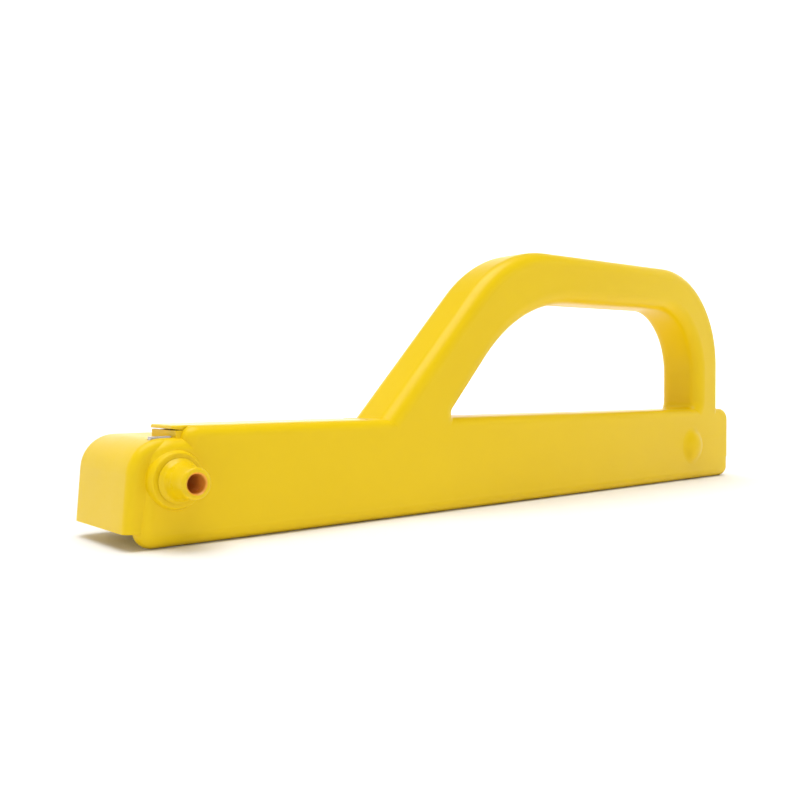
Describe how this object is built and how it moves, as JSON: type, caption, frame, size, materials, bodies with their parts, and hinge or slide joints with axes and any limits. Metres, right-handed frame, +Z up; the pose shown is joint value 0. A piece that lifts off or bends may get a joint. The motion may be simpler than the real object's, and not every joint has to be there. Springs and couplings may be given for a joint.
{
  "type": "toe jack",
  "caption": "Low lifting bar with a closed hand loop, a hollow drive socket on its side and a cam-raised steel toe plate over a rounded nose.",
  "frame": {"origin": "centre of the bounding box, at the floor it stands on", "axes": "+X along the bar from the nose to the hand loop's rear leg, +Y from the socket side to the far side, +Z up"},
  "size_m": [0.466, 0.0754, 0.1465],
  "materials": {
    "casing_plastic": "satin moulded",
    "painted_steel": "satin paint",
    "plated_steel": "zinc plated",
    "hard_steel": "ground",
    "dark_steel": "black powder coat",
    "black_fasteners": "black oxide",
    "bronze": "sintered bronze",
    "lining": "friction lining",
    "sole_rubber": "ribbed matt"
  },
  "bodies": {
    "casing": {"front_casing": "casing_plastic", "back_cover": "casing_plastic", "grip_cover": "casing_plastic", "base_plate": "dark_steel", "sole_pads": "sole_rubber", "chassis": "plated_steel", "spine_channel": "plated_steel", "stop_pin": "hard_steel", "base_screws": "black_fasteners", "base_nuts": "plated_steel", "cover_screws": "black_fasteners", "grip_screws": "black_fasteners", "anchor_insert": "bronze", "rear_anchor_bolt": "black_fasteners", "near_bush": "bronze", "far_bush": "bronze", "brake_lining": "lining", "toe_hinge_pin": "hard_steel", "hinge_pin_clips": "hard_steel", "return_spring": "hard_steel"},
    "drive": {"cam_shaft": "hard_steel", "socket_sleeve": "painted_steel", "sleeve_pin": "hard_steel", "cam": "hard_steel", "cam_key": "hard_steel", "thrust_washers": "bronze", "pressure_washer": "plated_steel", "disc_springs": "hard_steel", "lock_nut": "plated_steel"},
    "toe": {"toe_plate": "painted_steel", "follower_block": "hard_steel", "follower_rivets": "painted_steel"}
  },
  "joints": [
    {"name": "cam_turn", "type": "hinge", "parent": "casing", "child": "drive", "pos_m": [-0.212, -0.00025, 0.0276], "axis": [0, -1, 0], "range_deg": [0, 120]},
    {"name": "toe_lift", "type": "hinge", "parent": "casing", "child": "toe", "pos_m": [-0.114, -0.00025, 0.0356], "axis": [0, 1, 0], "range_deg": [0, 4.2]}
  ],
  "couplings": [
    {"joint": "toe_lift", "follows": "cam_turn", "ratio": 0.035}
  ]
}
